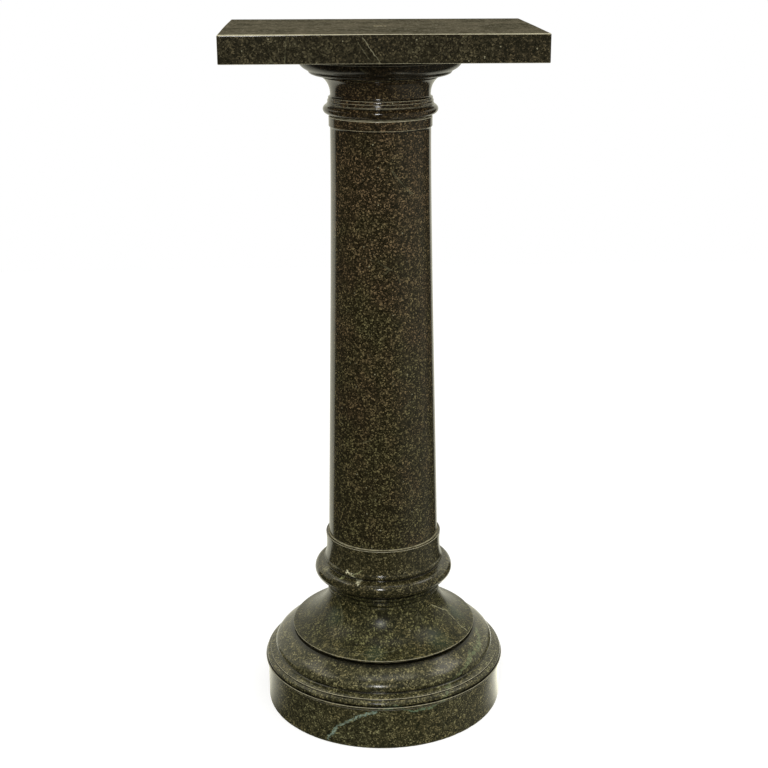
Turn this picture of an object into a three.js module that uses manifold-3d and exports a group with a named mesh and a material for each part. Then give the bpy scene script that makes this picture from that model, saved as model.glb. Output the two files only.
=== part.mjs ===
// A turned stone pedestal column: a rectangular slab that revolves on a central iron rod,
// over a turned capital, a tapered shaft, a torus collar and a spreading bell on a round plinth.
// Millimetres, +Z up. The origin is on the column's axis, at the underside of the plinth.

import * as THREE from 'three';
import { mergeVertices } from 'three/addons/utils/BufferGeometryUtils.js';
import Module from 'manifold-3d';

// Driving dimensions
const totalHeight = 914;
const slabWidth = 381;
const slabDepth = 279;
const slabThickness = 33.3;
const plinthRadius = 162;
const plinthDrumHeight = 57;
const shaftFootRadius = 73.9;
const shaftHeadRadius = 63.4;

// Heights of the joints between the stones, each one the bed on the lower stone
const plinthTop = 101;
const bellTop = 174.6;
const collarTop = 243.8;
const shaftTop = 805.8;
const neckTop = 853.6;
const capitalTop = 879.4;

// Joints, bores and clearances
const gap = 0.3;
const plasterThickness = 0.8;
const joint = plasterThickness + 2 * gap;
const washerThickness = 1.1;
const rodRadius = 6.35;
const rodHoleRadius = 8;
const hardwareHoleRadius = 6.75;
const bushRadius = 8.7;
const bushHoleRadius = 9;
const turnedSides = 40;
const fittingSides = 24;

const module = await Module();
module.setup();

// ---------- outlines ----------

function point(radius, height) {
  return new THREE.Vector2(radius, height);
}

// Round moulding: part of an ellipse about (radius, height), angles in degrees from level.
function arc(radius, height, width, rise, from, to, steps) {
  const points = [];
  for (let i = 0; i <= steps; i += 1) {
    const angle = THREE.MathUtils.degToRad(from + (to - from) * i / steps);
    points.push(point(radius + width * Math.cos(angle), height + rise * Math.sin(angle)));
  }
  return points;
}

// Swept moulding: a smooth curve from start to end that leaves and arrives along its two guides.
function sweep(start, leave, arrive, end, steps) {
  return new THREE.CubicBezierCurve(start, leave, arrive, end).getPoints(steps);
}

// ---------- solids ----------

function finish(shape, name, material) {
  const mesh = new THREE.Mesh(shape, material);
  mesh.name = name;
  mesh.material.name = name;
  return mesh;
}

// Turned on the lathe about +Z from a closed outline that runs up the outside and down the bore.
function turn(outline, sides = turnedSides) {
  const shape = new THREE.LatheGeometry([...outline, outline[0]], sides);
  return shape.rotateX(Math.PI / 2);
}

function ring(innerRadius, outerRadius, bottom, top, sides = fittingSides) {
  return turn([
    point(innerRadius, bottom),
    point(outerRadius, bottom),
    point(outerRadius, top),
    point(innerRadius, top),
  ], sides);
}

function toManifold(shape) {
  const bare = shape.clone();
  bare.deleteAttribute('normal');
  bare.deleteAttribute('uv');
  const merged = mergeVertices(bare, 1e-4);
  return new module.Manifold(new module.Mesh({
    numProp: 3,
    vertProperties: Float32Array.from(merged.attributes.position.array),
    triVerts: Uint32Array.from(merged.index.array),
  }));
}

function drill(shape, drills) {
  const solid = drills.reduce((left, cut) => left.subtract(toManifold(cut)), toManifold(shape));
  const result = solid.getMesh();
  const drilled = new THREE.BufferGeometry();
  drilled.setAttribute('position', new THREE.BufferAttribute(result.vertProperties, 3));
  drilled.setIndex(new THREE.BufferAttribute(result.triVerts, 1));
  drilled.computeVertexNormals();
  return drilled;
}

function plasterBed(name, stoneTop, innerRadius, outerRadius) {
  const bottom = stoneTop + gap;
  const top = bottom + plasterThickness;
  return finish(ring(innerRadius, outerRadius, bottom, top, turnedSides), name, plaster());
}

// ---------- materials ----------

function stone() {
  return new THREE.MeshStandardMaterial({ color: 0x39372a, roughness: 0.25, metalness: 0 });
}

function plaster() {
  return new THREE.MeshStandardMaterial({ color: 0xb0ab90, roughness: 0.9, metalness: 0 });
}

function iron() {
  return new THREE.MeshStandardMaterial({ color: 0x4a4744, roughness: 0.6, metalness: 1 });
}

function brass() {
  return new THREE.MeshStandardMaterial({ color: 0xa8915a, roughness: 0.4, metalness: 1 });
}

// ---------- base: one turned stone with its drum, listel, bead and cushion, round the bell's bed ----------

const recessRadius = 34;
const recessDepth = 32;

function basePlinth() {
  const listel = plinthDrumHeight + 1.9;
  const beadHeight = plinthDrumHeight + 8.2;
  const filletHeight = plinthDrumHeight + 14.2;
  const cushionFoot = plinthDrumHeight + 18.4;
  return finish(turn([
    point(recessRadius, 0),
    point(plinthRadius - 0.6, 0),
    point(plinthRadius, 0.6),
    point(plinthRadius, plinthDrumHeight - 0.6),
    point(plinthRadius - 1.4, plinthDrumHeight + 0.3),
    point(164.6, listel),
    point(165.2, listel + 0.7),
    point(165.2, listel + 2.5),
    point(163.6, listel + 3.3),
    ...arc(158.9, beadHeight, 4.6, 3.9, -50, 72, 3),
    point(158.4, filletHeight - 1.9),
    point(158.4, filletHeight),
    point(155.8, filletHeight + 0.4),
    point(151.6, filletHeight + 2.1),
    point(147.8, cushionFoot - 1.2),
    point(148, cushionFoot),
    point(149.8, cushionFoot + 1.4),
    ...sweep(point(150.9, 79.6), point(151.3, 87), point(140, 93.8), point(125.9, 102.1), 7),
    point(125.2, 102.4),
    point(123.4, plinthTop),
    point(rodHoleRadius, plinthTop),
    point(rodHoleRadius, recessDepth),
    point(recessRadius, recessDepth),
  ]), 'base_plinth', stone());
}

// ---------- bell: a concave spreading foot with a sharp lip and two fine rings at its neck ----------

function baseBell() {
  const foot = plinthTop + joint;
  const lip = foot + 4.6;
  const ringRadius = 75.2;
  return finish(turn([
    point(rodHoleRadius, foot),
    point(118.5, foot),
    point(118.5, foot + 3.2),
    point(125.3, foot + 4),
    point(125.7, lip),
    point(125.7, lip + 1),
    ...sweep(point(124.9, 108.8), point(99.5, 118), point(78.8, 137), point(76, 160), 7),
    point(ringRadius - 1.2, 162),
    ...arc(ringRadius, 165, 2, 2.2, -75, 75, 2),
    point(ringRadius - 1.2, 168.1),
    ...arc(ringRadius - 0.2, 171.2, 2, 2.2, -75, 75, 2),
    point(ringRadius - 0.6, bellTop),
    point(rodHoleRadius, bellTop),
  ]), 'base_bell', stone());
}

// ---------- collar: a torus under a plain waisted band, which the shaft stands on ----------

const collarRadius = 78;

function collar() {
  const foot = bellTop + joint;
  const torusHeight = 190.6;
  return finish(turn([
    point(rodHoleRadius, foot),
    point(75.4, foot),
    point(76.6, foot + 2.8),
    ...arc(85, torusHeight, 8.8, 9.1, -112, 0, 5),
    ...arc(85, torusHeight, 8.8, 10.4, 0, 64, 3).slice(1),
    point(85.6, torusHeight + 9.6),
    point(78.5, torusHeight + 10.4),
    point(78.5, torusHeight + 12.2),
    ...arc(78.8, torusHeight + 15.8, 2.2, 3, -60, 60, 3),
    ...sweep(point(79.2, 210), point(77.6, 217), point(76.2, 227), point(collarRadius, 242.8), 5),
    point(collarRadius - 0.6, collarTop),
    point(rodHoleRadius, collarTop),
  ]), 'collar', stone());
}

// ---------- shaft: tapered, with a broad flat annulet at its head ----------

function shaft() {
  const foot = collarTop + joint;
  const annulet = shaftTop - 12.4;
  const entasis = sweep(
    point(shaftFootRadius, foot),
    point(69.9, 440),
    point(shaftHeadRadius - 0.1, 680),
    point(shaftHeadRadius, annulet - 2.4),
    8,
  );
  return finish(turn([
    point(rodHoleRadius, foot),
    ...entasis,
    point(shaftHeadRadius + 0.2, annulet - 1.4),
    point(64.7, annulet - 0.5),
    point(65.1, annulet),
    point(65.1, shaftTop - 0.8),
    point(64.4, shaftTop),
    point(rodHoleRadius, shaftTop),
  ]), 'shaft', stone());
}

// ---------- neck: an astragal bead under a cylinder that flares out to the capital ----------

const nutWellRadius = 22;
const nutWellFloor = 827;

function capitalNeck() {
  const foot = shaftTop + joint;
  return finish(turn([
    point(rodHoleRadius, foot),
    point(64.6, foot),
    ...arc(64.6, foot + 7, 7.5, 6.2, -84, 60, 6),
    point(66, foot + 12.5),
    point(67.1, foot + 13.1),
    point(67.1, foot + 14.2),
    point(66.3, foot + 14.8),
    point(66.3, foot + 18.2),
    point(65.3, foot + 19),
    point(65.3, foot + 21.8),
    point(63.1, foot + 22.8),
    ...sweep(point(62.7, foot + 25), point(62.9, 842), point(66.6, 848.6), point(73, neckTop), 6),
    point(nutWellRadius, neckTop),
    point(nutWellRadius, nutWellFloor),
    point(rodHoleRadius, nutWellFloor),
  ]), 'capital_neck', stone());
}

// ---------- revolving head: turned capital disc and rectangular slab, dowelled together ----------

const capitalFoot = neckTop + washerThickness + 2 * gap;
const slabFoot = totalHeight - slabThickness;
const dowelSpacing = 110;
const dowelRadius = 4;
const dowelHoleRadius = 4.5;
const dowelDepth = 15;

function dowelHoles(bottom, top) {
  return [-1, 1].map((side) => {
    const hole = ring(0, dowelHoleRadius, bottom, top, 16);
    return hole.translate(side * dowelSpacing / 2, 0, 0);
  });
}

function capitalDisc() {
  const body = turn([
    point(bushHoleRadius, capitalFoot),
    ...sweep(
      point(73, capitalFoot),
      point(82, capitalFoot),
      point(88.8, capitalFoot + 1.8),
      point(89.3, capitalFoot + 5.2),
      5,
    ),
    point(90.3, capitalFoot + 6.1),
    ...sweep(point(91.6, 862.3), point(96.5, 864.4), point(101.2, 868.5), point(102.4, 874), 5).slice(1),
    point(103.8, 874.6),
    point(103.8, capitalTop),
    point(bushHoleRadius, capitalTop),
  ]);
  const holes = dowelHoles(capitalTop - dowelDepth, capitalTop + 1);
  return finish(drill(body, holes), 'capital_disc', stone());
}

function topSlab() {
  const arris = 1.4;
  const outline = new THREE.Shape([
    point(-slabWidth / 2 + arris, -slabDepth / 2 + arris),
    point(slabWidth / 2 - arris, -slabDepth / 2 + arris),
    point(slabWidth / 2 - arris, slabDepth / 2 - arris),
    point(-slabWidth / 2 + arris, slabDepth / 2 - arris),
  ]);
  const slab = new THREE.ExtrudeGeometry(outline, {
    depth: slabThickness - 2 * arris,
    bevelThickness: arris,
    bevelSize: arris,
    bevelSegments: 1,
  });
  slab.translate(0, 0, slabFoot + arris);
  const rodHole = ring(0, bushHoleRadius, slabFoot - 1, totalHeight + 1, turnedSides);
  const holes = dowelHoles(slabFoot - 1, slabFoot + dowelDepth);
  return finish(drill(slab, [rodHole, ...holes]), 'top_slab', stone());
}

function dowels() {
  const bottom = capitalTop - dowelDepth + gap;
  const top = slabFoot + dowelDepth - gap;
  return [-1, 1].map((side) => {
    const pin = ring(0, dowelRadius, bottom, top, 16);
    pin.translate(side * dowelSpacing / 2, 0, 0);
    return finish(pin, side < 0 ? 'slab_dowel_left' : 'slab_dowel_right', brass());
  });
}

function pivotBush() {
  const bottom = capitalFoot + 0.3;
  const top = totalHeight - 0.3;
  return finish(ring(hardwareHoleRadius, bushRadius, bottom, top), 'pivot_bush', brass());
}

function turningWasher() {
  const bottom = neckTop + gap;
  return finish(ring(24, 69, bottom, bottom + washerThickness), 'turning_washer', brass());
}

// ---------- ironwork: one rod through the column, drawn tight by a nut at each end ----------

const nutThickness = 10;
const washerPlateThickness = 3;

function hexNut(name, bottom) {
  const acrossFlats = 20;
  const outline = new THREE.Shape();
  for (let corner = 0; corner < 6; corner += 1) {
    const angle = corner * Math.PI / 3;
    const reach = acrossFlats / Math.sqrt(3);
    const at = point(reach * Math.cos(angle), reach * Math.sin(angle));
    if (corner === 0) outline.moveTo(at.x, at.y);
    else outline.lineTo(at.x, at.y);
  }
  outline.closePath();
  outline.holes.push(new THREE.Path().absarc(0, 0, hardwareHoleRadius, 0, 2 * Math.PI, true));
  const nut = new THREE.ExtrudeGeometry(outline, {
    depth: nutThickness,
    bevelEnabled: false,
    curveSegments: 24,
  });
  return finish(nut.translate(0, 0, bottom), name, iron());
}

function tieRod() {
  const foot = 12;
  const head = totalHeight - 0.5;
  const chamfer = 0.8;
  const shape = new THREE.LatheGeometry([
    point(0, foot),
    point(rodRadius - chamfer, foot),
    point(rodRadius, foot + chamfer),
    point(rodRadius, head - chamfer),
    point(rodRadius - chamfer, head),
    point(0, head),
  ], fittingSides);
  return finish(shape.rotateX(Math.PI / 2), 'tie_rod', iron());
}

function ironwork() {
  const plateTop = recessDepth - gap;
  const plateBottom = plateTop - washerPlateThickness;
  const upperWasherTop = nutWellFloor + gap + washerPlateThickness;
  return [
    tieRod(),
    finish(ring(hardwareHoleRadius, 28, plateBottom, plateTop), 'lower_washer', iron()),
    hexNut('lower_nut', plateBottom - gap - nutThickness),
    finish(ring(hardwareHoleRadius, 18, nutWellFloor + gap, upperWasherTop), 'upper_washer', iron()),
    hexNut('upper_nut', upperWasherTop + gap),
  ];
}

// ---------- the column put together ----------

const column = new THREE.Group();
column.add(
  basePlinth(),
  plasterBed('bell_plaster', plinthTop, 30, 117),
  baseBell(),
  plasterBed('collar_plaster', bellTop, 20, 73.2),
  collar(),
  plasterBed('shaft_plaster', collarTop, 20, 75.2),
  shaft(),
  plasterBed('neck_plaster', shaftTop, 20, 63.5),
  capitalNeck(),
  ...ironwork(),
);

const revolvingHead = new THREE.Group();
revolvingHead.add(
  turningWasher(),
  capitalDisc(),
  plasterBed('slab_plaster', capitalTop, 66, 100),
  topSlab(),
  ...dowels(),
  pivotBush(),
);

const pedestal = new THREE.Group();
pedestal.add(column, revolvingHead);

export default pedestal;
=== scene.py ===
import math

import bpy
import numpy as np
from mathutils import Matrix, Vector


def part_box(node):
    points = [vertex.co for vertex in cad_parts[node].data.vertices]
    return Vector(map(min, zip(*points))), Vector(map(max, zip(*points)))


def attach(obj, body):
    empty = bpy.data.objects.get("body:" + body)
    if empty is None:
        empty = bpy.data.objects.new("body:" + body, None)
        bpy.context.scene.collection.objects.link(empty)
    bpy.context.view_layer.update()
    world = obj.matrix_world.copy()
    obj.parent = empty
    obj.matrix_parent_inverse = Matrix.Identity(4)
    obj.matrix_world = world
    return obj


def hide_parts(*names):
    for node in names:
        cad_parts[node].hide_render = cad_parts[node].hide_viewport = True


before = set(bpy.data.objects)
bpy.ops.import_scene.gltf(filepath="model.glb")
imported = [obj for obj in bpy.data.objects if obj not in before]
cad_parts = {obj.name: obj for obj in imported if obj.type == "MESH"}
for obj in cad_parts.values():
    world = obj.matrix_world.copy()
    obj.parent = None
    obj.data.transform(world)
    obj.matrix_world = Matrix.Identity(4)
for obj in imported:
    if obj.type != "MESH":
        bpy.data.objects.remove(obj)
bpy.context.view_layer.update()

# ---------- The studio ----------
# A camera a little above the top of the column, a white floor, soft lamps in front, overhead and at
# both sides, and a room that is white behind the column and dim towards the camera.

CAMERA_DISTANCE = 1.784
CAMERA_HEIGHT = 1.0298
CAMERA_SIDE = 0.0363
SLAB_TURN = math.radians(3.53)      # how far the slab stands turned from the camera
CAMERA_TILT = math.radians(17.94)
LENS = 66.22
SIDE_SHIFT = -0.03334

camera = bpy.data.objects.new("camera", bpy.data.cameras.new("camera"))
camera.data.lens = LENS
camera.data.sensor_width = 36
camera.data.shift_x = SIDE_SHIFT
camera.location = (
    CAMERA_SIDE * math.cos(SLAB_TURN) - CAMERA_DISTANCE * math.sin(SLAB_TURN),
    -CAMERA_SIDE * math.sin(SLAB_TURN) - CAMERA_DISTANCE * math.cos(SLAB_TURN),
    CAMERA_HEIGHT,
)
camera.rotation_euler = (math.pi / 2 - CAMERA_TILT, 0, -SLAB_TURN)
bpy.context.collection.objects.link(camera)
bpy.context.scene.camera = camera
bpy.context.scene.view_settings.view_transform = "Standard"


def soft_lamp(name, place, aim, width, height, radiance, tint=(1, 1, 1)):
    """Adds a rectangular lamp of even brightness, turned towards a point."""
    light = bpy.data.lights.new(name, "AREA")
    light.shape = "RECTANGLE"
    light.size = width
    light.size_y = height
    light.energy = radiance * math.pi * width * height
    light.color = tint
    lamp = bpy.data.objects.new(name, light)
    lamp.location = place
    lamp.rotation_euler = (Vector(aim) - Vector(place)).to_track_quat("-Z", "Y").to_euler()
    bpy.context.collection.objects.link(lamp)


soft_lamp("front_lamp", (-0.33, -2.35, 1.66), (0, 0, 0.75), 0.34, 0.75, 20)
soft_lamp("left_lamp", (-1.55, 0.05, 1.75), (0, 0, 0.2), 1.3, 0.65, 1.5, (1, 0.95, 0.82))
soft_lamp("right_lamp", (1.4, 0, 1.85), (0, 0, 0.2), 1.0, 0.65, 2.4, (1, 0.96, 0.88))
soft_lamp("top_lamp", (0.05, -0.6, 2.3), (0, 0, 0.2), 1.5, 0.4, 1.5, (1, 0.98, 0.92))


class Wire:
    """An output in a shader tree. Arithmetic on it, also with plain numbers, adds Math nodes."""

    def __init__(self, tree, out=None):
        self.tree = tree
        self.out = out

    def node(self, kind, settings=None, inputs=None, out=0):
        """Adds a node: its settings first, then a value or a wire on each input, by name or number."""
        made = self.tree.nodes.new("ShaderNode" + kind)
        for name, value in (settings or {}).items():
            setattr(made, name, value)
        for name, value in (inputs or {}).items():
            socket = self.pick(made.inputs, name)
            if isinstance(value, Wire):
                self.tree.links.new(value.out, socket)
            else:
                socket.default_value = value
        if out is None:
            return None
        return Wire(self.tree, self.pick(made.outputs, out))

    @staticmethod
    def pick(sockets, which):
        """A socket by its number, or the first one in use that has the name."""
        if isinstance(which, int):
            return sockets[which]
        return next(socket for socket in sockets if socket.enabled and socket.name == which)

    def parts(self):
        """The three numbers of a direction, or of a colour."""
        split = self.node("SeparateXYZ", inputs={"Vector": self}, out="X").out.node
        return [Wire(self.tree, output) for output in split.outputs]

    def maths(self, operation, left, right=0.0):
        return self.node("Math", {"operation": operation}, {0: left, 1: right})

    def __add__(self, other):
        return self.maths("ADD", self, other)

    def __sub__(self, other):
        return self.maths("SUBTRACT", self, other)

    def __rsub__(self, other):
        return self.maths("SUBTRACT", other, self)

    def __mul__(self, other):
        return self.maths("MULTIPLY", self, other)

    def __pow__(self, other):
        return self.maths("POWER", self, other)

    __radd__ = __add__
    __rmul__ = __mul__

    def step(self, low, high):
        """0 below low, 1 above high and smooth between; the other way round if low is the greater."""
        limits = {"Value": self, "From Min": low, "From Max": high}
        return self.node("MapRange", {"interpolation_type": "SMOOTHSTEP"}, limits)


def new_tree(block):
    """Clears the shader nodes of a material or a world, and gives a wire to start from."""
    block.use_nodes = True
    block.node_tree.nodes.clear()
    return Wire(block.node_tree)


def room_light(direction):
    """What a polished surface sees each way, also at a place on the floor: a white sweep behind the
    column, which reaches round it near the foot, and dim walls in front."""
    side, depth, height = direction.parts()
    bearing = side.maths("ARCTAN2", side, depth)
    distance = direction.node("VectorMath", {"operation": "LENGTH"}, {0: direction}, out="Value")
    near = distance.step(0.6, 0.15)
    left_of_sweep = (bearing * (1 - 0.56 * near)).step(-0.93, near * 0.35 - 0.85)
    right_of_sweep = (bearing * (1 - 0.7 * near)).step(0.66, 0.58 - near * 0.25)
    low = left_of_sweep * right_of_sweep
    raised = bearing.step(-1.5, -1.25) * bearing.step(1.5, 1.25) * height.step(0.02, 0.12)
    raised = raised * height.step(0.85, 0.45)
    right_front = bearing.step(0.9, 1.5) * bearing.step(3.1, 2.0)
    dim = 0.05 + 0.22 * right_front + 0.12 * height.step(0.1, 0.7)
    pale = 0.85 + near * (0.4 + 0.35 * bearing.step(-0.3, -1.1) + 2.8 * bearing.step(0.4, 1.2))
    return dim + low.maths("MAXIMUM", low, raised) * (pale - dim)


WARM_WHITE = (1, 0.98, 0.8, 1)

room = bpy.data.worlds.new("room")
bpy.context.scene.world = room
start = new_tree(room)
direction = start.node("TexCoord", out="Generated")
side, depth, height = direction.parts()
front_glow = 0.3 + 1.1 * (0.5 + 0.15 * side - 0.45 * depth + 0.15 * height) ** 2
ray = start.node("LightPath", out="Is Diffuse Ray")
level = 1 + ray * (front_glow - 1)
ray = start.node("LightPath", out="Is Glossy Ray")
level = level + ray * (room_light(direction) - level)
shades = {"Factor": ray, "A": (1, 1, 1, 1), "B": WARM_WHITE}
tint = start.node("Mix", {"data_type": "RGBA"}, shades, out="Result")
glow = start.node("Background", inputs={"Color": tint, "Strength": level})
start.node("OutputWorld", inputs={"Surface": glow}, out=None)

FLOOR_HALF = 2.6
floor_mesh = bpy.data.meshes.new("floor")
FLOOR_DROP = 0.0004                 # keeps the floor clear of the plinth's underside
square = ((-1, -1), (1, -1), (1, 1), (-1, 1))
floor_corners = [(x * FLOOR_HALF, y * FLOOR_HALF, -FLOOR_DROP) for x, y in square]
floor_mesh.from_pydata(floor_corners, [], [(0, 1, 2, 3)])
floor = bpy.data.objects.new("floor", floor_mesh)
bpy.context.collection.objects.link(floor)

paper = bpy.data.materials.new("white_paper")
start = new_tree(paper)
matt = start.node("BsdfDiffuse", inputs={"Color": (0.55, 0.55, 0.54, 1)})
lift = start.node("Emission", inputs={"Color": (1, 1, 1, 1), "Strength": 0.62})
seen = start.node("AddShader", inputs={0: matt, 1: lift})
place = start.node("TexCoord", out="Object")
share = 1 - 0.7 * start.node("LightPath", out="Is Diffuse Ray")
mirrored = start.node("Emission", inputs={"Color": WARM_WHITE, "Strength": room_light(place) * share})
ray = start.node("LightPath", out="Is Camera Ray")
shown = start.node("MixShader", inputs={0: ray, 1: mirrored, 2: seen})
start.node("OutputMaterial", inputs={"Surface": shown}, out=None)
floor_mesh.materials.append(paper)

# ---------- The plinth ----------
# The lowest stone, turned in one: a drum with a bead and fillet round its edge, a groove, and a
# big cushion moulding. A nut recess is cut under it and the rod's hole is bored through.

MM = 0.001
ROD_HOLE = 8


def arc(radius, height, width, rise, first, last, steps):
    """Round moulding: part of an ellipse about (radius, height), angles in degrees from level."""
    angles = np.radians(np.linspace(first, last, steps + 1))
    return [(radius + width * math.cos(a), height + rise * math.sin(a)) for a in angles]


def sweep(start, leave, arrive, end, steps):
    """Swept moulding: a smooth curve that leaves and arrives along its two guides."""
    t = np.linspace(0, 1, steps + 1)[:, None]
    ends = (1 - t) ** 3 * np.array(start) + t ** 3 * np.array(end)
    guides = 3 * t * (1 - t) ** 2 * np.array(leave) + 3 * t * t * (1 - t) * np.array(arrive)
    return [tuple(point) for point in ends + guides]


def ease(outline):
    """Rounds each corner that has a size, given as (radius, height, size), and marks it as a worn
    arris, which the stones paint pale as real wear and a painted highlight line. Returns rows of radius,
    height and that mark."""
    eased = []
    for i, corner in enumerate(outline):
        here = np.array(corner[:2])
        if len(corner) < 3:
            eased.append((*here, 0))
            continue
        before = np.array(outline[i - 1][:2]) - here
        after = np.array(outline[(i + 1) % len(outline)][:2]) - here
        reach = min(corner[2], 0.35 * np.hypot(*before), 0.35 * np.hypot(*after))
        before = before / np.hypot(*before) * reach
        after = after / np.hypot(*after) * reach
        outward = before[0] * after[1] - before[1] * after[0] < 0
        eased.append((*(here + 1.3 * before), 0))
        for t in (0, 0.25, 0.5, 0.75, 1):
            bent = here + before * (1 - t) ** 2 + after * t * t
            eased.append((*bent, 4 * t * (1 - t) if outward else 0))
        eased.append((*(here + 1.3 * after), 0))
    return eased


def lathe_tree():
    """Turns a closed outline about +Z. The outline lies in its own XY plane, measured from a centre
    circle, with X outwards and Y down. Worn corners are then knocked in by noise."""
    tree = bpy.data.node_groups.new("turned_on_the_lathe", "GeometryNodeTree")
    sockets = {
        "Outline": "NodeSocketGeometry", "Centre circle": "NodeSocketFloat", "Sides": "NodeSocketInt",
        "Knock depth": "NodeSocketFloat", "Knock spacing": "NodeSocketFloat", "Seed": "NodeSocketFloat",
        "Material": "NodeSocketMaterial",
    }
    for name, kind in sockets.items():
        tree.interface.new_socket(name, in_out="INPUT", socket_type=kind)
    tree.interface.new_socket("Geometry", in_out="OUTPUT", socket_type="NodeSocketGeometry")

    def add(kind, settings=None, inputs=None):
        made = tree.nodes.new(kind)
        for name, value in (settings or {}).items():
            setattr(made, name, value)
        for name, value in (inputs or {}).items():
            socket = made.inputs[name]
            if isinstance(value, bpy.types.NodeSocket):
                tree.links.new(value, socket)
            else:
                socket.default_value = value
        return made

    given = add("NodeGroupInput").outputs
    section = add("GeometryNodeMeshToCurve", inputs={"Mesh": given["Outline"]})
    circle = add("GeometryNodeCurvePrimitiveCircle",
                 inputs={"Resolution": given["Sides"], "Radius": given["Centre circle"]})
    turned = add("GeometryNodeCurveToMesh",
                 inputs={"Curve": circle.outputs[0], "Profile Curve": section.outputs[0]})
    facing = add("GeometryNodeFlipFaces", inputs={"Mesh": turned.outputs[0]})
    worn = add("GeometryNodeInputNamedAttribute", {"data_type": "FLOAT"}, {"Name": "arris_wear_and_highlight"})
    spacing = add("ShaderNodeMath", {"operation": "DIVIDE"}, {0: 1.0, 1: given["Knock spacing"]})
    bumps = add("ShaderNodeTexNoise", {"noise_dimensions": "4D"},
                {"W": given["Seed"], "Scale": spacing.outputs[0], "Detail": 3.0, "Roughness": 0.6})
    knocks = add("ShaderNodeMapRange", {"interpolation_type": "SMOOTHSTEP"},
                 {"Value": bumps.outputs[0], "From Min": 0.5, "From Max": 0.75})
    knocked = add("ShaderNodeMath", {"operation": "MULTIPLY"},
                  {0: worn.outputs[0], 1: knocks.outputs[0]})
    depth = add("ShaderNodeMath", {"operation": "MULTIPLY"},
                {0: knocked.outputs[0], 1: given["Knock depth"]})
    normal = add("GeometryNodeInputNormal")
    outwards = add("ShaderNodeVectorMath", {"operation": "SCALE"},
                   {0: normal.outputs[0], "Scale": depth.outputs[0]})
    inwards = add("ShaderNodeVectorMath", {"operation": "SCALE"},
                  {0: outwards.outputs[0], "Scale": -1.0})
    moved = add("GeometryNodeSetPosition",
                inputs={"Geometry": facing.outputs[0], "Offset": inwards.outputs[0]})
    smooth = add("GeometryNodeSetShadeSmooth", inputs={"Geometry": moved.outputs[0]})
    whole = add("GeometryNodeRealizeInstances", inputs={"Geometry": smooth.outputs[0]})
    painted = add("GeometryNodeSetMaterial",
                  inputs={"Geometry": whole.outputs[0], "Material": given["Material"]})
    add("NodeGroupOutput", inputs={"Geometry": painted.outputs[0]})
    return tree


LATHE = lathe_tree()


def turn(name, outline, material, sides=256, knock_depth=0.0, knock_spacing=9.0, seed=0.0):
    """A turned piece from its closed outline in millimetres, up the outside and down the bore."""
    rows = np.array(ease(outline))
    centre_circle = float(rows[:, 0].max())
    drawn = bpy.data.meshes.new(name)
    flat = [((radius - centre_circle) * MM, -height * MM, 0) for radius, height, _ in rows]
    count = len(flat)
    drawn.from_pydata(flat, [(i, (i + 1) % count) for i in range(count)], [])
    drawn.attributes.new("arris_wear_and_highlight", "FLOAT", "POINT").data.foreach_set("value", rows[:, 2].astype(np.float32))
    piece = bpy.data.objects.new(name, drawn)
    bpy.context.collection.objects.link(piece)
    lathe = piece.modifiers.new("lathe", "NODES")
    lathe.node_group = LATHE
    values = {
        "Centre circle": centre_circle * MM, "Sides": sides, "Knock depth": knock_depth * MM,
        "Knock spacing": knock_spacing * MM, "Seed": seed, "Material": material,
    }
    for item in LATHE.interface.items_tree:
        if item.name in values:
            lathe[item.identifier] = values[item.name]
    evaluated = piece.evaluated_get(bpy.context.evaluated_depsgraph_get())
    made = bpy.data.meshes.new_from_object(evaluated)
    piece.modifiers.remove(lathe)
    piece.data = made
    made.name = name
    return piece


def colour(code, alpha=1):
    """The linear colour of a web colour such as #2b2a1c."""
    parts = [int(code[i:i + 2], 16) / 255 for i in (1, 3, 5)]
    return (*[c / 12.92 if c <= 0.04045 else ((c + 0.055) / 1.055) ** 2.4 for c in parts], alpha)


def blend(factor, low, high, kind="MIX"):
    """Mixes two colours, each a wire or a plain colour."""
    settings = {"data_type": "RGBA", "blend_type": kind}
    return factor.node("Mix", settings, {"Factor": factor, "A": low, "B": high}, out="Result")


def noise(at, size, detail=3.0, roughness=0.55, warp=0.0):
    """Cloudy noise, whose blotches are about size millimetres across."""
    inputs = {"Vector": at, "Scale": 1 / size, "Detail": detail, "Roughness": roughness, "Distortion": warp}
    return at.node("TexNoise", inputs=inputs)


def cells(at, size, feature="F1", out="Distance"):
    """Random cells, about size millimetres across."""
    return at.node("TexVoronoi", {"feature": feature}, {"Vector": at, "Scale": 1 / size}, out=out)


def along(at, point, way):
    """How far a place lies from a point along a way, in millimetres."""
    shifted = at.node("VectorMath", {"operation": "SUBTRACT"}, {0: at, 1: tuple(point)})
    return at.node("VectorMath", {"operation": "DOT_PRODUCT"}, {0: shifted, 1: tuple(way)}, out="Value")


def patch(at, centre, radius):
    """A cloudy stain round a place on the surface."""
    shifted = at.node("VectorMath", {"operation": "SUBTRACT"}, {0: at, 1: tuple(centre)})
    away = at.node("VectorMath", {"operation": "LENGTH"}, {0: shifted}, out="Value")
    return (away * (0.6 + 0.8 * noise(at, 9, 4, 0.65))).step(radius, 0.25 * radius)


def crack(at, points, width, waves, broken):
    """A crack filled with pale mineral: wavy sheets through the stone, which come to its surface
    along a line of points and die out 30 mm inside. Returns how much of it shows at a place."""
    shown = 0.0
    for first, last in zip(points, points[1:]):
        first, last = Vector(first), Vector(last)
        run = last - first
        inward = -(first + last) / 2
        inward.z = 0
        inward.normalize()
        across = run.cross(inward).normalized()
        off = along(at, first, across) + waves
        off = off.maths("ABSOLUTE", off).step(width, 0.2 * width)
        share = along(at, first, run / run.length_squared)
        ends = share.step(-0.08, 0.04) * share.step(1.08, 0.96)
        sheet = off * ends * along(at, first, inward).step(34, 22)
        shown = sheet.maths("MAXIMUM", sheet, shown)
    return shown * broken


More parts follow.
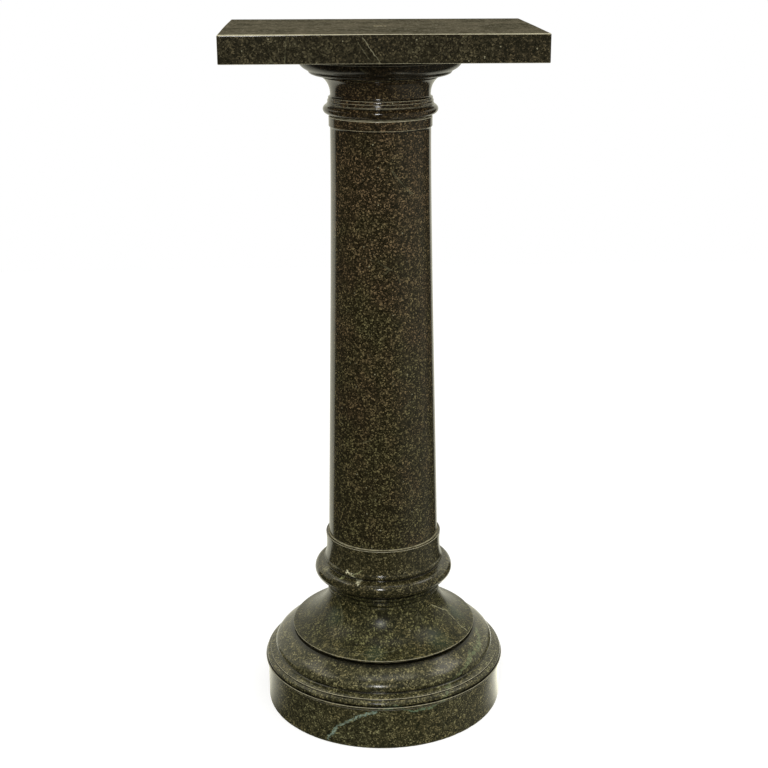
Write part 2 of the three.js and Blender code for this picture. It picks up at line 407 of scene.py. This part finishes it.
def stone(name, block, ground, cloud, grain, grain_warm, veins=(), stains=(), haze=0.14, ior=1.52,
          drift=0.0, mottle=0.3, grit=0.9, shaded_grooves=()):
    """Polished serpentine: a dark ground packed with fine pale grains, slow clouds of colour, hair
    cracks, its own veins and stains, and painted shade, with some dirt, in its grooves and seams, each
    a height and half its width in millimetres. block shifts the pattern, as each stone has its own block."""
    material = bpy.data.materials.new(name)
    wire = new_tree(material)
    place = wire.node("TexCoord", out="Object")
    mm = place.node("VectorMath", {"operation": "SCALE"}, {0: place, "Scale": 1000.0})
    at = mm.node("VectorMath", {"operation": "ADD"}, {0: mm, 1: block})

    chance = cells(at, 1.6, out="Color").parts()[0]
    small = cells(at, 1.0, out="Color").parts()[1]
    crowd = (1 - mottle) + 2 * mottle * noise(at, 11, 4, 0.65).step(0.3, 0.7)
    soft = noise(at, 5, 6, 0.75).step(0.4, 0.8)
    speck = (grit * (chance ** 5.2 + 0.1 * small ** 2.0) + (1 - grit) * soft) * crowd
    slow = noise(at, 46, 3, 0.6)
    warmth = slow + drift * (mm.parts()[2] - 500)
    base = blend(slow.step(0.35, 0.65), colour(ground), colour(cloud))
    base = blend(speck, base, blend(warmth.step(0.25, 0.75), colour(grain), colour(grain_warm)))
    flake = cells(at, 6.0, out="Color").parts()[0].step(0.9, 0.96) * cells(at, 6.0).step(0.2, 0.08)
    base = blend(flake * 0.7, base, colour("#a09b7c"))
    for centre, radius, strength, stain_colour in stains:
        base = blend(patch(mm, centre, radius) * strength, base, colour(stain_colour))
    cell_edge = cells(at, 90, "DISTANCE_TO_EDGE") + (noise(at, 12, 3) - 0.5) * 0.05
    hair = cell_edge.maths("ABSOLUTE", cell_edge).step(0.007, 0.001) * noise(at, 60).step(0.5, 0.62)
    base = blend(hair * 0.3, base, colour("#7e7b5c"))
    broken = 0.35 + 0.65 * noise(mm, 5, 2).step(0.35, 0.6)
    for points, width, wander, strength, line_colour in veins:
        waves = (noise(mm, 20, 4, 0.6) - 0.5) * (2 * wander) + (noise(mm, 4, 3) - 0.5) * (5 * width)
        base = blend(crack(mm, points, width, waves, broken) * strength, base, colour(line_colour))

    worn = wire.node("Attribute", {"attribute_name": "arris_wear_and_highlight"}, out="Fac")
    # Arrises painted pale (#beb798): partly real wear, partly a painted highlight line along each rounded
    # corner; the wear also roughens them.
    pale_wear_and_highlight = (worn * (0.45 + noise(at, 7, 3))).step(0.3, 0.9)
    base = blend(pale_wear_and_highlight * 0.85, base, colour("#beb798"))
    # Painted shade, with some dirt: level bands round the grooves, seams and undercuts are darkened towards
    # near-black #0b0a05, where shade falls.
    for level, half_width in shaded_grooves:
        off = mm.parts()[2] - level
        darkening = off.maths("ABSOLUTE", off).step(half_width, 0.3 * half_width)
        base = blend(darkening * 0.85, base, colour("#0b0a05"))
    rough = haze + 0.08 * (noise(at, 18, 3) - 0.5) + 0.25 * pale_wear_and_highlight
    wave = noise(at, 24, 2) + 0.05 * speck
    bump = wave.node("Bump", inputs={"Strength": 0.25, "Distance": 0.0001, "Height": wave}, out="Normal")
    shader = wire.node("BsdfPrincipled", inputs={
        "Base Color": base, "Roughness": rough, "Normal": bump, "IOR": ior})
    wire.node("OutputMaterial", inputs={"Surface": shader}, out=None)
    return material


PLINTH_RADIUS = 162
DRUM_HEIGHT = 57
BELL_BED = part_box("bell_plaster")[0].z / MM - 0.3
RECESS_RADIUS = 34
RECESS_DEPTH = 32

plinth_outline = [
    (RECESS_RADIUS, 0, 1),
    (PLINTH_RADIUS, 0, 1.2),
    (PLINTH_RADIUS, DRUM_HEIGHT - 0.3, 0.5),
    (160.4, DRUM_HEIGHT + 0.4),
    (164.9, DRUM_HEIGHT + 2.0, 0.6),
    (165.2, DRUM_HEIGHT + 4.9, 0.8),
    (162.2, DRUM_HEIGHT + 5.5),
    *arc(158.9, 65.2, 4.6, 3.9, -52, 74, 18),
    (158.3, 69.3),
    (158.4, 71.2, 0.6),
    (151.6, 73.3),
    (147.8, 74.2),
    (147.9, 75.4),
    (149.8, 76.8),
    *sweep((150.9, 79.6), (151.3, 87), (140, 93.8), (125.9, 102.1), 30),
    (125.2, 102.4, 0.4),
    (123.4, BELL_BED),
    (ROD_HOLE, BELL_BED, 0.5),
    (ROD_HOLE, RECESS_DEPTH, 0.5),
    (RECESS_RADIUS, RECESS_DEPTH, 1),
]
green_vein = [(-80, -141, 4), (-67, -147, 29), (-38, -157, 47), (-17, -161, 55)]
edge_vein = [(-17, -161, 58), (10, -162, 63), (23, -160, 55), (57, -152, 54), (73, -148, 62)]
cushion_vein = [(73, -148, 62), (77, -137, 71), (100, -108, 84), (110, -86, 90), (122, -21, 98)]
plinth_veins = [
    (green_vein, 2.4, 4, 0.85, "#8fa592"),
    (green_vein, 0.8, 9, 0.6, "#a9b7a0"),
    (edge_vein, 2.2, 5, 0.6, "#86a07e"),
    (cushion_vein, 2.6, 6, 0.45, "#7c8a62"),
]
# Painted shade, with some dirt, in the plinth's seams and grooves; the widest band, at 103 mm, is a painted
# shadow of the bell's lip on the cushion's rim.
plinth_shaded_grooves = [(DRUM_HEIGHT + 0.2, 1.2), (62.6, 1.1), (69.8, 0.9), (74.8, 1.4), (103, 4.2)]
plinth_stone = stone("plinth_stone", (310, 40, 90), "#191708", "#171b0a", "#949166", "#94875d",
                     plinth_veins, haze=0.2, mottle=0.6, grit=0.75, shaded_grooves=plinth_shaded_grooves)
plinth = turn("plinth", plinth_outline, plinth_stone, 384, 0.7, 8, 1)
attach(plinth, "column")
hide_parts("base_plinth")

# ---------- The bell ----------
# The spreading foot: a concave sweep with a sharp lip below, undercut so that it throws a shadow
# on the cushion, and two fine rings at its neck. It is bedded in plaster on the plinth.

bell_low, bell_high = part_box("base_bell")
BELL_FOOT = bell_low.z / MM
BELL_TOP = bell_high.z / MM
LIP_RADIUS = 125.7
LIP_HEIGHT = 107
RING_RADIUS = 75.2

bell_outline = [
    (ROD_HOLE, BELL_FOOT, 0.5),
    (118.5, BELL_FOOT, 0.5),
    (118.5, LIP_HEIGHT - 1.4),
    (LIP_RADIUS, LIP_HEIGHT - 0.5, 0.4),
    (LIP_RADIUS, LIP_HEIGHT + 1.4, 0.7),
    *sweep((124.6, 109.1), (99.5, 118), (78.8, 137), (76, 160), 30),
    (RING_RADIUS - 1.2, 162.1),
    *arc(RING_RADIUS, 165, 2, 2.2, -78, 78, 8),
    (RING_RADIUS - 1.2, 168.1),
    *arc(RING_RADIUS - 0.2, 171.2, 2, 2.2, -80, 80, 8),
    (RING_RADIUS - 0.6, BELL_TOP, 0.3),
    (ROD_HOLE, BELL_TOP, 0.5),
]
bell_veins = [
    ([(64, -46, 149), (86, -28, 130), (99, -36, 119), (109, -50, 108)], 0.8, 1.5, 0.8, "#b5b088"),
    ([(-43, -104, 113), (-17, -114, 111), (17, -103, 117)], 0.6, 4, 0.22, "#a3a07c"),
]
bell_stains = [
    ((-68, -50, 137), 20, 0.15, "#4c6352"),
    ((99, -16, 122), 22, 0.2, "#4f6450"),
    ((72, -83, 115), 26, 0.15, "#4c624c"),
    ((-17, -114, 112), 20, 0.14, "#526a55"),
]
# Painted shade, with some dirt, under the bell's lip, in the gaps by its rings and at its top seam.
bell_shaded_grooves = [(BELL_FOOT + 2, 4), (162.1, 1.0), (168.1, 0.8), (BELL_TOP - 0.6, 1.3)]
bell_stone = stone("bell_stone", (40, 520, 10), "#161406", "#151807", "#7a794e", "#7d714a", bell_veins,
                   bell_stains, haze=0.26, ior=1.3, mottle=0.7, grit=0.8, shaded_grooves=bell_shaded_grooves)
bell = turn("bell", bell_outline, bell_stone, 320, 0.9, 7, 5)
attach(bell, "column")
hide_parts("base_bell")

# ---------- The collar ----------
# A torus under a plain waisted band, with a groove and a small bead between them. Its top is a
# flat ledge, a little wider than the shaft that stands on it.

collar_low, collar_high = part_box("collar")
COLLAR_FOOT = collar_low.z / MM
COLLAR_TOP = collar_high.z / MM
TORUS_HEIGHT = 190.6
COLLAR_RADIUS = 78

collar_outline = [
    (ROD_HOLE, COLLAR_FOOT, 0.5),
    (75.4, COLLAR_FOOT, 0.4),
    (76.6, COLLAR_FOOT + 2.8),
    *arc(85, TORUS_HEIGHT, 8.8, 9.1, -112, 0, 16),
    *arc(85, TORUS_HEIGHT, 8.8, 10.4, 0, 66, 10)[1:],
    (85.6, TORUS_HEIGHT + 9.7, 0.5),
    (79.2, TORUS_HEIGHT + 10.2),
    (78.5, TORUS_HEIGHT + 10.8),
    (78.5, TORUS_HEIGHT + 12.2),
    *arc(78.8, TORUS_HEIGHT + 15.8, 2.2, 3, -62, 62, 10),
    *sweep((79.2, 210), (77.6, 217), (76.2, 227), (COLLAR_RADIUS - 0.1, COLLAR_TOP - 1.6), 18),
    (COLLAR_RADIUS, COLLAR_TOP, 0.8),
    (ROD_HOLE, COLLAR_TOP, 0.5),
]
collar_veins = [
    ([(-52, -60, 210), (-45, -67, 206), (-33, -77, 199)], 1.7, 1.2, 1.0, "#d2ceaa"),
    ([(-58, -58, 200), (-45, -67, 206), (-31, -71, 215)], 0.8, 1.5, 0.7, "#aeb07c"),
    ([(-78, -20, 202), (-74, -35, 199)], 1.2, 2, 0.6, "#a9a276"),
]
# Painted shade, with some dirt, under the torus and in the groove above it.
collar_shaded_grooves = [(COLLAR_FOOT + 1.5, 4.5), (TORUS_HEIGHT + 11.4, 1.7)]
collar_stone = stone("collar_stone", (700, 90, 260), "#171507", "#161708", "#787250", "#776b49",
                     collar_veins, grit=0.85, shaded_grooves=collar_shaded_grooves)
collar = turn("turned_collar", collar_outline, collar_stone, 256, 0.5, 6, 9)
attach(collar, "column")
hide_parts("collar")

# ---------- The shaft ----------
# One long tapered stone with a slight swelling, and a flat annulet at its head. It stands on the
# collar's ledge.

shaft_low, shaft_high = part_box("shaft")
SHAFT_FOOT = shaft_low.z / MM
SHAFT_TOP = shaft_high.z / MM
SHAFT_FOOT_RADIUS = 73.9
SHAFT_HEAD_RADIUS = 63.4
ANNULET = SHAFT_TOP - 12.4

shaft_outline = [
    (ROD_HOLE, SHAFT_FOOT, 0.5),
    (SHAFT_FOOT_RADIUS, SHAFT_FOOT, 0.5),
    *sweep((SHAFT_FOOT_RADIUS - 0.1, SHAFT_FOOT + 3), (69.9, 440), (63.3, 680),
           (SHAFT_HEAD_RADIUS, ANNULET - 2.4), 90),
    (63.6, ANNULET - 1.4),
    (64.6, ANNULET - 0.6),
    (65.1, ANNULET + 0.2, 0.4),
    (65.1, SHAFT_TOP, 1.4),
    (ROD_HOLE, SHAFT_TOP, 0.5),
]
# The shaft's dark band is painted shade, with some dirt, under the annulet.
shaft_stone = stone("shaft_stone", (0, 0, 0), "#110d01", "#100e03", "#756f4a", "#7b6648", drift=0.0006,
                    shaded_grooves=[(ANNULET - 1.6, 1.1)])
shaft = turn("turned_shaft", shaft_outline, shaft_stone, 224, 0.4, 6, 13)
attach(shaft, "column")
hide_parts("shaft")

# ---------- The neck ----------
# The upper stone of the column: an astragal bead, a stepped fillet and a short cylinder that
# flares out to the capital. A well in its top holds the upper nut.

neck_low, neck_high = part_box("capital_neck")
NECK_FOOT = neck_low.z / MM
NECK_TOP = neck_high.z / MM
NUT_WELL_RADIUS = 22
NUT_WELL_FLOOR = 827

neck_outline = [
    (ROD_HOLE, NECK_FOOT, 0.5),
    (64.6, NECK_FOOT),
    *arc(64.6, NECK_FOOT + 7, 7.5, 6.2, -84, 62, 20),
    (66.0, NECK_FOOT + 12.6),
    (67.2, NECK_FOOT + 13.2, 0.4),
    (67.0, NECK_FOOT + 14.4, 0.4),
    (66.3, NECK_FOOT + 14.9),
    (66.3, NECK_FOOT + 18.4, 0.5),
    (65.3, NECK_FOOT + 19.0),
    (65.3, NECK_FOOT + 22.0, 0.5),
    (63.1, NECK_FOOT + 22.9),
    *sweep((62.7, NECK_FOOT + 25), (62.9, 842), (66.6, 848.6), (72.8, NECK_TOP - 0.2), 20),
    (NUT_WELL_RADIUS, NECK_TOP, 0.5),
    (NUT_WELL_RADIUS, NUT_WELL_FLOOR, 0.5),
    (ROD_HOLE, NUT_WELL_FLOOR, 0.5),
]
# Painted shade, with some dirt, in the seam under the astragal and in the quirks of its fillet.
neck_shaded_grooves = [(NECK_FOOT + 0.4, 1.3), (NECK_FOOT + 12.7, 0.8), (NECK_FOOT + 22.9, 0.9)]
neck_stone = stone("neck_stone", (120, 900, 700), "#130d04", "#140e05", "#6d6042", "#705b3e",
                   shaded_grooves=neck_shaded_grooves)
neck = turn("neck", neck_outline, neck_stone, 224, 0.4, 6, 17)
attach(neck, "column")
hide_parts("capital_neck")

# ---------- The plaster beds ----------
# Thin beds of lime plaster between the stones. Two of them show as pale lines: on the collar's
# ledge round the shaft, and over the annulet.


def plaster_finish():
    material = bpy.data.materials.new("lime_plaster")
    wire = new_tree(material)
    place = wire.node("TexCoord", out="Object")
    mm = place.node("VectorMath", {"operation": "SCALE"}, {0: place, "Scale": 1000.0})
    darkening = noise(mm, 9, 5).step(0.35, 0.7)
    base = blend(darkening, colour("#a39c7e"), colour("#6a6349"))
    rough = 0.8 + 0.15 * noise(mm, 2, 3)
    shader = wire.node("BsdfPrincipled", inputs={"Base Color": base, "Roughness": rough})
    wire.node("OutputMaterial", inputs={"Surface": shader}, out=None)
    return material


lime_plaster = plaster_finish()


def plaster_bed(name, node, inner_radius, body):
    low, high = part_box(node)
    outer_radius = high.x / MM
    bottom, top = low.z / MM, high.z / MM
    outline = [
        (inner_radius, bottom), (outer_radius, bottom, 0.3), (outer_radius, top, 0.3), (inner_radius, top),
    ]
    bed = turn(name, outline, lime_plaster, 192, 0.5, 5, 21)
    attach(bed, body)
    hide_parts(node)


plaster_bed("bed_under_bell", "bell_plaster", 30, "column")
plaster_bed("bed_under_collar", "collar_plaster", 20, "column")
plaster_bed("bed_under_shaft", "shaft_plaster", 20, "column")
plaster_bed("bed_under_neck", "neck_plaster", 20, "column")

# ---------- The revolving head ----------
# A turned disc that finishes the capital, and the slab on it, bedded in plaster and keyed by two
# dowels. Both turn on the rod's upper end, in a brass bush, on a thin brass washer.

disc_low, disc_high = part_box("capital_disc")
DISC_FOOT = disc_low.z / MM
DISC_TOP = disc_high.z / MM
BUSH_HOLE = 9

disc_outline = [
    (BUSH_HOLE, DISC_FOOT, 0.5),
    *sweep((73, DISC_FOOT), (82, DISC_FOOT), (88.8, DISC_FOOT + 1.8), (89.3, DISC_FOOT + 5.2), 14),
    (89.5, DISC_FOOT + 5.9),
    (90.6, DISC_FOOT + 6.2),
    *sweep((91.6, 862.3), (96.5, 864.4), (101.2, 868.5), (102.4, 874), 14),
    (103.8, 874.6, 0.5),
    (103.8, DISC_TOP, 0.5),
    (BUSH_HOLE, DISC_TOP, 0.5),
]
# The disc's dark bands are painted shade, with some dirt, in its quirk and under the slab.
disc_stone = stone("disc_stone", (400, 310, 220), "#100c05", "#110e07", "#4a4330", "#4c3f2c", haze=0.24,
                   ior=1.28, shaded_grooves=[(DISC_FOOT + 6, 0.9), (874.3, 0.8)])
disc = turn("disc", disc_outline, disc_stone, 224, 0.3, 6, 23)
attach(disc, "revolving_head")
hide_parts("capital_disc")

plaster_bed("bed_under_slab", "slab_plaster", 66, "revolving_head")

slab_low, slab_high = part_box("top_slab")
SLAB_HALF_WIDTH = slab_high.x / MM
SLAB_HALF_DEPTH = slab_high.y / MM
SLAB_FOOT = slab_low.z / MM
SLAB_TOP = slab_high.z / MM
SLAB_CORNER = 2.6
EDGE_STEP = 3.0
LOW_ARRIS = 0.9


def slab_edge():
    """Points along the slab's rounded outline, anticlockwise, each with its outward direction."""
    x_reach = SLAB_HALF_WIDTH - SLAB_CORNER
    y_reach = SLAB_HALF_DEPTH - SLAB_CORNER
    points = []
    corners = [(1, -1, -90), (1, 1, 0), (-1, 1, 90), (-1, -1, 180)]
    for i, (x_side, y_side, first) in enumerate(corners):
        centre = np.array([x_side * x_reach, y_side * y_reach])
        for angle in np.radians(np.linspace(first, first + 90, 7)):
            out = np.array([math.cos(angle), math.sin(angle)])
            points.append((centre + SLAB_CORNER * out, out))
        here, out = points[-1]
        x_next, y_next, _ = corners[(i + 1) % 4]
        turn_out = np.array([math.cos(math.radians(first + 90)), math.sin(math.radians(first + 90))])
        there = np.array([x_next * x_reach, y_next * y_reach]) + SLAB_CORNER * turn_out
        steps = int(np.hypot(*(there - here)) // EDGE_STEP)
        for k in range(1, steps):
            points.append((here + (there - here) * k / steps, out))
    return points


def slab_mesh():
    """The slab as rows of points from the hole, under the slab, up its edge and back to the hole."""
    edge = slab_edge()
    rows = []
    arris_wear_and_highlight = []
    for spot, out in edge:
        around = spot / np.hypot(*spot)
        wave = 0.5 + 0.5 * math.sin(spot[0] / 61 + 1.3) * math.cos(spot[1] / 47)
        top_arris = 1.0 + 1.1 * wave * (0.75 - 0.25 * spot[0] / SLAB_HALF_WIDTH)
        hole = around * BUSH_HOLE
        column = []
        foot_rim = spot - out * LOW_ARRIS
        for t in (0, 0.02, 0.1, 0.3, 0.55, 0.8, 0.95, 0.985, 1):
            column.append((*(hole + (foot_rim - hole) * t), SLAB_FOOT, 0))
        for angle in np.radians(np.linspace(0, 90, 5))[1:]:
            spread = LOW_ARRIS * (1 - math.sin(angle))
            column.append((*(spot - out * spread), SLAB_FOOT + LOW_ARRIS * (1 - math.cos(angle)),
                           math.sin(2 * angle)))
        for t in (0.04, 0.2, 0.4, 0.6, 0.8, 0.96):
            rise = SLAB_FOOT + LOW_ARRIS + (SLAB_TOP - SLAB_FOOT - LOW_ARRIS - top_arris) * t
            column.append((*spot, rise, 0))
        for angle in np.radians(np.linspace(0, 90, 7)):
            spread = top_arris * (1 - math.cos(angle))
            column.append((*(spot - out * spread), SLAB_TOP - top_arris * (1 - math.sin(angle)),
                           math.sin(2 * angle)))
        top_rim = spot - out * top_arris
        for t in (0.985, 0.95, 0.88, 0.75, 0.55, 0.35, 0.18, 0.08, 0.02, 0):
            column.append((*(hole + (top_rim - hole) * t), SLAB_TOP, 0))
        rows.append([point[:3] for point in column])
        arris_wear_and_highlight.append([point[3] for point in column])
    across = len(rows)
    deep = len(rows[0])
    points = np.array(rows).reshape(-1, 3) * MM
    faces = []
    for i in range(across):
        for k in range(deep):
            j, m = (i + 1) % across, (k + 1) % deep
            faces.append((i * deep + k, j * deep + k, j * deep + m, i * deep + m))
    mesh = bpy.data.meshes.new("slab")
    mesh.from_pydata(points.tolist(), [], faces)
    # Marks the arrises, which the stones paint pale as real wear and a painted highlight line.
    mesh.attributes.new("arris_wear_and_highlight", "FLOAT", "POINT").data.foreach_set(
        "value", np.clip(np.array(arris_wear_and_highlight), 0, 1).astype(np.float32).ravel())
    mesh.shade_smooth()
    return mesh


slab_veins = [
    ([(-26, -139, 911), (-17, -139, 898), (-5, -139, 881)], 0.65, 1.0, 0.55, "#a39f80"),
    ([(-31, -139, 905), (-18, -139, 886)], 0.5, 1.0, 0.45, "#8f8c6e"),
]
slab_stone = stone("slab_stone", (90, 60, 450), "#151207", "#14130a", "#5e5840", "#60553c", slab_veins,
                   mottle=0.5, grit=0.65)
# The slab's top: rough, with no reflection of its own (IOR 1.0), and painted far lighter than its sides as
# a painted sheen for the glancing view of the top.
dull_top_painted_sheen = stone("dull_top_painted_sheen", (90, 60, 450), "#343124", "#524e3e", "#8b8671", "#837967", slab_veins,
                   haze=0.6, ior=1.0, mottle=0.9, grit=0.55)
slab = bpy.data.objects.new("slab", slab_mesh())
slab.data.materials.append(slab_stone)
slab.data.materials.append(dull_top_painted_sheen)
# Upward faces take the top finish with its painted sheen.
for face in slab.data.polygons:
    if face.normal.z > 0.9:
        face.material_index = 1
bpy.context.collection.objects.link(slab)
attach(slab, "revolving_head")
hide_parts("top_slab")

# ---------- Brass and iron ----------
# The bush and washer are turned brass, dulled by age. The rod, its nuts and its plate washers are
# blackened iron, and only the rod's end shows, in the middle of the slab.


def metal(name, clean, tarnish, roughness):
    material = bpy.data.materials.new(name)
    wire = new_tree(material)
    place = wire.node("TexCoord", out="Object")
    mm = place.node("VectorMath", {"operation": "SCALE"}, {0: place, "Scale": 1000.0})
    cover = noise(mm, 5, 5).step(0.35, 0.65)
    base = blend(cover, colour(clean), colour(tarnish))
    rough = roughness + 0.3 * cover
    bump = cover.node("Bump", inputs={"Strength": 0.3, "Distance": 0.0001, "Height": cover}, out="Normal")
    shader = wire.node("BsdfPrincipled", inputs={
        "Base Color": base, "Roughness": rough, "Metallic": 1 - 0.5 * cover, "Normal": bump})
    wire.node("OutputMaterial", inputs={"Surface": shader}, out=None)
    return material


dull_brass = metal("dull_brass", "#ded2a6", "#b0a47c", 0.5)
black_iron = metal("black_iron", "#5c5853", "#33302c", 0.45)


def dress(node, material):
    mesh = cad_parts[node].data
    mesh.materials.clear()
    mesh.materials.append(material)


for node in ("tie_rod", "lower_washer", "lower_nut", "upper_washer", "upper_nut"):
    dress(node, black_iron)
for node in ("turning_washer", "slab_dowel_left", "slab_dowel_right", "pivot_bush"):
    dress(node, dull_brass)
